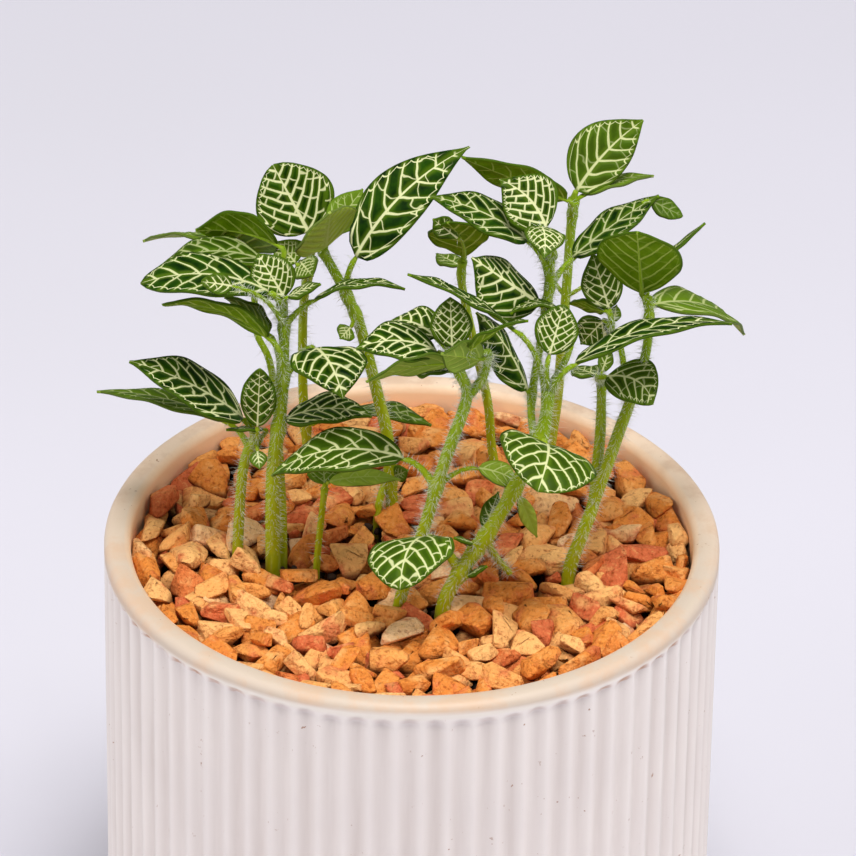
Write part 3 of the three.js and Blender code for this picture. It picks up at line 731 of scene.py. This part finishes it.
def addHairs(bm, line, perMillimetre, chance):
    for a, b in zip(line, line[1:]):
        forward = b.xyz - a.xyz
        count = int(forward.length * perMillimetre + chance.random())
        forward.normalize()
        turned, across = squareTo(forward)
        for _ in range(count):
            t, angle = chance.random(), chance.uniform(0, 2 * math.pi)
            outward = turned * math.cos(angle) + across * math.sin(angle)
            outward = (outward + forward * chance.uniform(-0.5, 0.5) + Vector((0, 0, -0.15))).normalized()
            root = a.xyz.lerp(b.xyz, t) + outward * (a.w + (b.w - a.w) * t) * 0.8
            tall = chance.uniform(*foliage["hairLength"])
            sideways = outward.orthogonal().normalized()
            lie = standOn(sideways, outward.cross(sideways), outward)
            middle = Matrix.Translation((root + outward * tall / 2) * mm)
            placed = hair.copy()
            placed.transform(middle @ lie @ Matrix.Diagonal((1, 1, tall, 1)))
            bm.from_mesh(placed)
            bpy.data.meshes.remove(placed)


def newObject(name, data):
    piece = bpy.data.objects.new(name, data)
    bpy.context.scene.collection.objects.link(piece)
    return piece


def makeObject(name, bm, materials):
    mesh = toMesh(name, bm)
    for material in materials:
        mesh.materials.append(material)
    mesh.polygons.foreach_set("use_smooth", [True] * len(mesh.polygons))
    return newObject(name, mesh)


def makeLeafyStem(stem, number):
    chance = random.Random(100 + number)
    label = stem["node"].replace("stem_", "")

    bm = bmesh.new()
    layers = addLayers(bm, bladeValues)
    for shape in stem["leaves"]:
        addBlade(bm, layers, shape, chance)
    leaves = makeObject("leaves_" + label, bm, bladeMaterials)
    thicken = leaves.modifiers.new("thickness", "SOLIDIFY")
    thicken.thickness = foliage["thickness"] * mm
    thicken.offset = 0.0
    thicken.material_offset = 1
    thicken.material_offset_rim = 1

    bm = bmesh.new()
    lines = []
    for path in stem["paths"]:
        points = [(*p[:3], p[3] / 2) for p in path]
        if points[0][2] <= foliage["footHeight"]:
            points.insert(0, (*points[0][:2], foliage["footEnd"], points[0][3]))
        line = smoothPath(points)
        for point in line:
            near = [(Vector(shape["start"]) - point.xyz).length for shape in stem["leaves"]]
            swell = max(math.exp(-(away / foliage["nodeReach"]) ** 2) for away in near)
            point.w *= 1 + foliage["nodeSwell"] * swell
        addStalk(bm, line, foliage["stalkSides"], foliage["stalkRidges"])
        lines.append((line, 1.0))
    for shape in stem["leaves"]:
        line = petioleLine(shape)
        addStalk(bm, line, foliage["petioleSides"])
        lines.append((line[:foliage["petioleSteps"] + 1], foliage["petioleHairs"]))
    bmesh.ops.recalc_face_normals(bm, faces=bm.faces)
    for line, share in lines:
        above = [point for point in line if point.z > foliage["hairsAbove"]]
        addHairs(bm, above, stem["hairs"] * share, chance)
    stalks = makeObject("stalks_" + label, bm, stalkMaterials)
    for piece in (leaves, stalks):
        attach(piece, "root")
        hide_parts(stem["node"])


for number, stem in enumerate(leafyStems):
    makeLeafyStem(stem, number)
stemFeet = [path[0] for stem in leafyStems for path in stem["paths"] if path[0][2] <= foliage["footHeight"]]
print("leafy stems made:", len(leafyStems))


# pot

pot = {
    "radius": 60.0,
    "height": 115.0,
    "wall": 5.2,
    "floor": 8.0,
    "ribs": 76,
    "ribDepth": 0.8,
    "bandHeight": 3.2,
    "stepsPerRib": 12,
    "outerRound": 1.7,
    "innerRound": 1.9,
    "body": srgb(230, 221, 216),
    "bodyCloud": srgb(226, 217, 213),
    "band": srgb(228, 219, 210),
    # painted shade in the grooves
    "groove": srgb(206, 194, 188),
    "lip": srgb(202, 185, 168),
    # painted light on the back of the lip, where the plants' shadow falls
    "rearLipPaintedLight": srgb(228, 203, 178),
    "lipStain": srgb(208, 176, 148),
    "grooveEndBrown": srgb(186, 134, 96),
    # painted warm bounce light from the gravel, on the inner wall
    "inside": srgb(248, 210, 170),
    "speck": srgb(150, 96, 60),
    "roughness": (0.5, 0.62),
    "specular": 0.4,
}


def potMaterial():
    material, shader = newMaterial("biscuitCeramic")
    place = objectPlace()
    x, y, z = splitPlace(place)
    cloud = noiseValue(place, 45.0, 4.0)
    streak = noiseValue(objectPlace((1.0, 1.0, 0.08)), 240.0, 4.0)
    bandFoot = (pot["height"] - pot["bandHeight"] + 1) * mm  # the cloud moves it by about 1 mm
    beside = ramp(calc("ABSOLUTE", x), 0.018, 0.05, 0.15, 1.0)  # browner there, towards the pot's left and right sides
    patches = ramp(noiseValue(place, 260.0, 4.0), 0.35, 0.6, 0.2, 1.0)
    stain = ramp(noiseValue(place, 110.0, 6.0, 0.65), 0.42, 0.66, 0.0, 0.8)
    # the back half of the lip is lighter: painted light
    stained = layered(pot["lip"], (ramp(y, -0.02, 0.03), pot["rearLipPaintedLight"]), (stain, pot["lipStain"]))
    specks = ramp(noiseValue(place, 900.0, 2.0), 0.69, 0.73)
    rare = ramp(noiseValue(place, 130.0, 2.0), 0.52, 0.62)
    colour = layered(
        pot["body"],
        (ramp(cloud, 0.35, 0.7), pot["bodyCloud"]),
        # painted shade in the grooves, broken up by streaks
        (times(attribute("groove"), ramp(streak, 0.3, 0.75, 0.35, 0.9)), pot["groove"]),
        (ramp(plus(z, times(cloud, 2 * mm)), bandFoot - 0.4 * mm, bandFoot + 0.4 * mm), pot["band"]),
        # brown where the grooves end under the band, more towards the sides
        (times(attribute("scallop"), beside, patches), pot["grooveEndBrown"]),
        (attribute("lip"), stained),
        # painted bounce light on the inner wall
        (attribute("inside"), pot["inside"]),
        (times(specks, rare, 0.75), pot["speck"]),
    )
    setFinish(shader, colour, ramp(cloud, 0.3, 0.7, *pot["roughness"]), pot["specular"])
    fine = addBump(shader, noiseValue(place, 1500.0, 4.0), 0.3, 0.08 * mm)
    addBump(shader, specks, -0.4, 0.15 * mm, fine)
    return material


def clamp(value):
    return min(max(value, 0.0), 1.0)


def makePot():
    radius, height, depth = pot["radius"], pot["height"], pot["ribDepth"]
    ribTop = height - pot["bandHeight"]
    inner = radius - pot["wall"]
    bm = bmesh.new()
    groove, lip, scallop, inside = addLayers(bm, ("groove", "lip", "scallop", "inside"))
    # rings from the middle of the foot, up the outside, over the lip and down to the inner floor:
    # radius, height, how deep the grooves are there
    rings = [(radius - depth - 1.6, 0.0, 0.0), (radius - depth - 0.5, 0.35, 0.1), (radius - 0.25, 1.2, 0.6)]
    rings += [(radius, 2.0 + (ribTop - 6.0) * k / 6, 1.0) for k in range(7)]
    rings += [(radius, ribTop - 3.3 + 0.3 * k, 1.0) for k in range(14)]
    rings += [(radius, ribTop + 0.95, 0.0), (radius, height - pot["outerRound"], 0.0)]
    for k in range(1, 6):
        r, turn = pot["outerRound"], math.radians(18 * k)
        rings.append((radius - r * (1 - math.cos(turn)), height - r * (1 - math.sin(turn)), 0.0))
    for k in range(1, 7):
        r, turn = pot["innerRound"], math.radians(15 * k)
        rings.append((inner + r * (1 - math.sin(turn)), height - r * (1 - math.cos(turn)), 0.0))
    rings += [(inner, height - 6, 0.0), (inner, height - 12, 0.0), (inner, pot["floor"], 0.0)]
    angles = []
    for i, ring in enumerate(growRings(bm, pot["ribs"] * pot["stepsPerRib"], len(rings))):
        r, z, carved = rings[i]
        angles = angles or [math.atan2(vert.co.y, vert.co.x) for vert in ring]
        for angle, vert in zip(angles, ring):
            turn = (angle * pot["ribs"] / (2 * math.pi)) % 1.0
            hollow = (0.5 + 0.5 * math.cos(2 * math.pi * turn)) ** 0.75  # 1 in the middle of a groove
            endsAt = ribTop + 0.1 + 0.45 * noise.noise((math.cos(angle) * 9, math.sin(angle) * 9, 0.5))
            ending = clamp((endsAt - z) / (2.9 - 1.7 * abs(math.cos(angle))))
            reach = clamp((ending - (1 - hollow) * 0.3) * 1.5) if z > ribTop - 3.4 else 1.0
            cut = depth * hollow * carved * (reach if carved == 1.0 else 1.0)
            vert.co = Vector((math.cos(angle) * (r - cut), math.sin(angle) * (r - cut), z)) * mm
            # groove depth, which carries the painted shade in the grooves
            vert[groove] = hollow * min(carved, reach)
            vert[scallop] = hollow * (1.0 if endsAt - 1.1 < z < endsAt - 0.05 and carved else 0.0)
            vert[lip] = clamp((z - height + 1.9 + 1.5 * abs(math.cos(angle))) / 0.8)
            # painted warm bounce light from the gravel, over the inner wall
            vert[inside] = clamp((height + 0.4 - z) / 2.2) * 0.95 if r < inner + 1.2 else 0.0
    bmesh.ops.recalc_face_normals(bm, faces=bm.faces)
    piece = makeObject("potBody", bm, [potMaterial()])
    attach(piece, "root")
    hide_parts("pot")


makePot()
print("pot made")


# soil

soil = {
    "top": 104.0,
    "bottom": 8.3,
    "radius": 54.6,
    "rings": 26,
    "spins": 96,
    "unevenness": 1.6,
    "crumbs": 7,  # round each stem's foot
    "crumbSize": (0.5, 1.1),
    "crumbAway": (0.6, 2.4),
    "crumbHeight": (106.5, 108.5),
    "dark": srgb(30, 20, 14),
    "light": srgb(78, 54, 38),
    "roughness": 0.95,
}


def soilMaterial():
    material, shader = newMaterial("darkSoil")
    crumbs = noiseValue(objectPlace(), 420.0, 6.0, 0.7)
    setFinish(shader, mixColour(ramp(crumbs, 0.3, 0.7), soil["dark"], soil["light"]), soil["roughness"])
    addBump(shader, crumbs, 1.0, 0.8 * mm)
    return material


def makeSoil():
    chance = random.Random(3)
    bm = bmesh.new()
    line = [Vector((soil["radius"] * k / soil["rings"], 0, soil["top"])) for k in range(soil["rings"] + 1)]
    line += [Vector((soil["radius"], 0, soil["bottom"])), Vector((0, 0, soil["bottom"]))]
    verts = [bm.verts.new(point * mm) for point in line]
    edges = [bm.edges.new(pair) for pair in zip(verts, verts[1:])]
    bmesh.ops.spin(bm, geom=verts + edges, cent=(0, 0, 0), axis=(0, 0, 1), angle=2 * math.pi,
                   steps=soil["spins"], use_merge=True, use_duplicate=False)
    bmesh.ops.remove_doubles(bm, verts=bm.verts, dist=0.02 * mm)
    for vert in bm.verts:
        if vert.co.z > (soil["top"] - 1) * mm:
            vert.co.z += soil["unevenness"] * mm * noise.fractal(vert.co * 180, 1.0, 2.0, 4)
    for x, y, _, wide in stemFeet:
        for _ in range(soil["crumbs"]):
            angle, away = chance.uniform(0, 2 * math.pi), wide / 2 + chance.uniform(*soil["crumbAway"])
            size = chance.uniform(*soil["crumbSize"])
            high = chance.uniform(*soil["crumbHeight"])
            place = Vector((x + away * math.cos(angle), y + away * math.sin(angle), high)) * mm
            crumb = Matrix.Translation(place)
            made = bmesh.ops.create_icosphere(bm, subdivisions=1, radius=size * mm, matrix=crumb)
            for vert in made["verts"]:
                vert.co += noise.noise_vector(vert.co * 900) * 0.35 * size * mm
    bmesh.ops.recalc_face_normals(bm, faces=bm.faces)
    piece = makeObject("soilFill", bm, [soilMaterial()])
    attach(piece, "root")
    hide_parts("potting_soil")


makeSoil()
print("soil made")


# gravel

gravel = {
    "chips": 900,
    "edgeChips": 150,  # laid first, along the wall
    "shapes": 18,
    "length": (5.2, 9.6),
    "width": (0.46, 0.78),  # of its length
    "thickness": (0.34, 0.58),
    "bed": 103.5,
    "packing": 0.85,  # share of a chip's height that raises the bed
    "settle": 88,  # percentile of the heights under a chip at which it comes to rest
    "lean": (0.5, 0.32),  # spread of its turns, in radians
    "highest": 112.2,
    "reach": 54.3,
    "tries": 14,  # places tried for each chip; the lowest is taken
    # x, y, 0 and width of the places where the soil shows
    "bare": [(-24.2, -6.4, 0, 4.5), (-21.5, -4.5, 0, 2.5), (-11, 6.5, 0, 3)],
    "tan": srgb(241, 161, 82),
    "ochre": srgb(230, 140, 60),
    "light": srgb(250, 188, 116),
    "cream": srgb(255, 212, 162),
    "salmon": srgb(218, 112, 68),
    "brown": srgb(150, 64, 14),
    # painted shade for the gaps between chips and their lower sides
    "paintedCreviceShade": srgb(80, 24, 0),
    "roughness": (0.5, 0.75),
    "specular": 0.12,
}

chipValues = ("tone", "shift", "low")  # a chip's colour, its own part of the noise, how far below its middle (which sets its painted shade)


def gravelMaterial():
    material, shader = newMaterial("crushedStone")
    place = objectPlace()
    ladder = newNode("ValToRGB")
    stops = [(0.0, "salmon"), (0.07, "salmon"), (0.13, "ochre"), (0.35, "ochre"), (0.6, "tan"),
             (0.82, "light"), (0.93, "light"), (1.0, "cream")]
    for position, _ in stops[2:]:
        ladder.color_ramp.elements.new(position)
    for element, (position, name) in zip(ladder.color_ramp.elements, stops):
        element.position = position
        element.color = gravel[name]
    tone, shift, low = (attribute(name) for name in chipValues)
    plug(ladder.inputs[0], tone)
    moved = newNode("VectorMath")
    moved.operation = "ADD"
    plugAll(moved, {0: place, 1: vector(shift, shift, shift)})
    patch = noiseValue(moved.outputs[0], 170.0, 5.0, 0.6)
    grain = noiseValue(moved.outputs[0], 900.0, 5.0, 0.7)
    lumps = noiseValue(moved.outputs[0], 420.0, 3.0, 0.6)
    # painted shade: darker low in the bed, between the chips
    paintedDepthShade = ramp(splitPlace(place)[2], 0.106, 0.11, 0.9, 0.0)
    colour = layered(
        ladder.outputs[0],
        (ramp(patch, 0.52, 0.7, 0.0, 0.7), gravel["light"]),
        (ramp(patch, 0.48, 0.3, 0.0, 0.8), gravel["salmon"]),
        (ramp(grain, 0.51, 0.68, 0.0, 0.7), gravel["brown"]),
        (ramp(grain, 0.47, 0.3, 0.0, 0.5), gravel["light"]),
        # painted shade on chips low in the bed and on each chip's lower side
        (greatest(paintedDepthShade, ramp(low, 0.0, 0.8, 0.0, 0.9)), gravel["paintedCreviceShade"]),
    )
    setFinish(shader, colour, ramp(grain, 0.2, 0.8, *gravel["roughness"]), gravel["specular"])
    lumpy = addBump(shader, lumps, 1.0, 1.6 * mm)
    addBump(shader, grain, 0.9, 0.5 * mm, lumpy)
    return material


def chipShape(chance):  # a block of unit size, split off along flat faces, with its edges worn a little
    bm = bmesh.new()
    bmesh.ops.create_cube(bm, size=2.0)
    for _ in range(8):
        normal = Vector((chance.gauss(0, 1), chance.gauss(0, 1), chance.gauss(0, 1))).normalized()
        geom = bm.verts[:] + bm.edges[:] + bm.faces[:]
        cut = bmesh.ops.bisect_plane(bm, geom=geom, plane_co=normal * chance.uniform(0.62, 1.0),
                                     plane_no=normal, clear_outer=True)
        edges = [part for part in cut["geom_cut"] if isinstance(part, bmesh.types.BMEdge)]
        if len(edges) > 2:
            bmesh.ops.edgeloop_fill(bm, edges=edges)
    bmesh.ops.remove_doubles(bm, verts=bm.verts, dist=0.1)
    narrow, flat = chance.uniform(-0.35, 0.35), chance.uniform(-0.3, 0.3)
    for vert in bm.verts:  # one end narrower than the other
        vert.co.y *= 1 + narrow * vert.co.x
        vert.co.z *= 1 + flat * vert.co.x
    bmesh.ops.bevel(bm, geom=bm.edges[:], offset=0.13, segments=1, affect="EDGES", profile=0.5, material=-1)
    for vert in bm.verts:
        vert.co += noise.noise_vector(vert.co * 1.6 + Vector((7, 3, 5)) * narrow) * 0.1
    bmesh.ops.recalc_face_normals(bm, faces=bm.faces)
    return toMesh("chip", bm)


def makeGravel():
    chance = random.Random(11)
    shapes = [chipShape(chance) for _ in range(gravel["shapes"])]
    feet = stemFeet + gravel["bare"]
    reach = gravel["reach"]
    cell = 0.5
    side = int(2 * reach / cell) + 1
    axis = (np.arange(side) - side // 2) * cell
    gridX, gridY = np.meshgrid(axis, axis, indexing="ij")
    top = np.full((side, side), gravel["bed"])  # how high the chips lie so far

    def span(middle, around):  # the grid's rows or columns near a place
        first, last = (int((middle + way * around) / cell) + side // 2 for way in (-1, 1))
        return slice(max(first, 0), last + 1)

    bm = bmesh.new()
    addLayers(bm, chipValues)
    placed = 0
    for number in range(gravel["chips"]):
        long = chance.uniform(*gravel["length"]) / 2
        half = (long, long * chance.uniform(*gravel["width"]), long * chance.uniform(*gravel["thickness"]))
        best = None
        for _ in range(gravel["tries"]):
            away, angle = (reach - half[1] * 0.9) * chance.random() ** 0.47, chance.uniform(0, 2 * math.pi)
            if number < gravel["edgeChips"]:
                away = reach - half[1] * 0.95
            x, y = away * math.cos(angle), away * math.sin(angle)
            yaw = angle + math.pi / 2 if away > reach - half[0] - 1 else chance.uniform(0, math.pi)
            if any(math.hypot(x - foot[0], y - foot[1]) < foot[3] / 2 + half[1] * 0.92 for foot in feet):
                continue
            spot = (span(x, long), span(y, long))
            dx, dy = gridX[spot] - x, gridY[spot] - y
            u = (dx * math.cos(yaw) + dy * math.sin(yaw)) / half[0]
            v = (-dx * math.sin(yaw) + dy * math.cos(yaw)) / half[1]
            dome = np.sqrt(np.clip(1 - u * u - v * v, 0, None)) * half[2] * gravel["packing"]
            inside = dome > 0
            if not inside.any():
                continue
            z = np.percentile((top[spot] + dome)[inside], gravel["settle"])
            if best is None or z < best[0]:
                best = (z, x, y, yaw, spot, dome, inside)
        if best is None or best[0] + half[2] * 0.6 > gravel["highest"]:
            continue
        z, x, y, yaw, spot, dome, inside = best
        top[spot] = np.where(inside, np.maximum(top[spot], z + dome), top[spot])
        place = Matrix.Translation(Vector((x, y, z)) * mm) @ Matrix.Rotation(yaw, 4, "Z")
        for axisName, lean in zip("XY", gravel["lean"]):
            place = place @ Matrix.Rotation(chance.gauss(0, lean), 4, axisName)
        place = place @ Matrix.Diagonal((half[0] * mm * 1.06, half[1] * mm * 1.06, half[2] * mm * 1.1, 1))
        chip = bmesh.new()
        chip.from_mesh(chance.choice(shapes))
        tone, shift, low = addLayers(chip, chipValues)
        bmesh.ops.transform(chip, matrix=place, verts=chip.verts)
        chipTone, chipShift = chance.random(), chance.random()
        # low, how far below the chip's middle, sets its painted shade
        for vert in chip.verts:
            vert[tone], vert[shift], vert[low] = chipTone, chipShift, (z * mm - vert.co.z) / (half[2] * mm)
        mesh = toMesh("placedChip", chip)
        bm.from_mesh(mesh)
        bpy.data.meshes.remove(mesh)
        placed += 1
    piece = makeObject("gravelChips", bm, [gravelMaterial()])
    piece.modifiers.new("worn", "WEIGHTED_NORMAL").keep_sharp = True
    for mesh in shapes:
        bpy.data.meshes.remove(mesh)
    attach(piece, "root")
    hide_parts("gravel")
    return placed


print("gravel chips placed:", makeGravel())


# floor, light and camera

studio = {
    "floor": srgb(209, 207, 214),
    "floorCloud": srgb(221, 218, 231),
    "floorReach": 6.0,
    "floorRoughness": 0.7,
    "world": {"Color": (1.0, 0.985, 0.965, 1.0), "Strength": 0.27},
    "lightsAim": (0, 0, 0.13),
    "lights": {  # place in metres, width and power
        "keyLight": ((0.15, -0.5, 1.65), 0.6, 24.3),
        "leftLight": ((-1.5, -0.5, 0.9), 1.8, 16.6),
        "rightLight": ((1.5, -0.4, 0.9), 1.8, 13.2),
    },
}


def makeStudio():
    bm = bmesh.new()
    bmesh.ops.create_grid(bm, x_segments=1, y_segments=1, size=studio["floorReach"])
    material, shader = newMaterial("paleFloor")
    cloud = noiseValue(objectPlace(), 3.0, 2.0)
    setFinish(shader, mixColour(cloud, studio["floor"], studio["floorCloud"]), studio["floorRoughness"])
    makeObject("floor", bm, [material])

    world = bpy.data.worlds.new("softRoom")
    world.use_nodes = True
    plugAll(world.node_tree.nodes["Background"], studio["world"])
    bpy.context.scene.world = world

    for name, (place, size, power) in studio["lights"].items():
        light = bpy.data.lights.new(name, "AREA")
        light.size = size
        light.energy = power
        lamp = newObject(name, light)
        lamp.location = place
        towards = Vector(studio["lightsAim"]) - Vector(place)
        lamp.rotation_euler = towards.to_track_quat("-Z", "Y").to_euler()


camera = {
    "place": (0.0, -1.14278, 0.85288),
    "rightward": (0.99989, 0.00597, 0.01347),
    "up": (-0.01459, 0.52959, 0.84813),
    "forward": (0.00207, 0.84823, -0.52962),
    "lens": 293.4,
    "sensor": 36.0,
}


def makeCamera():
    data = bpy.data.cameras.new("photoCamera")
    data.lens = camera["lens"]
    data.sensor_width = camera["sensor"]
    piece = newObject("photoCamera", data)
    turn = standOn(camera["rightward"], camera["up"], -Vector(camera["forward"]))
    piece.matrix_world = Matrix.Translation(camera["place"]) @ turn
    bpy.context.scene.camera = piece


makeStudio()
makeCamera()
bpy.context.scene.view_settings.view_transform = "Standard"
print("studio ready")
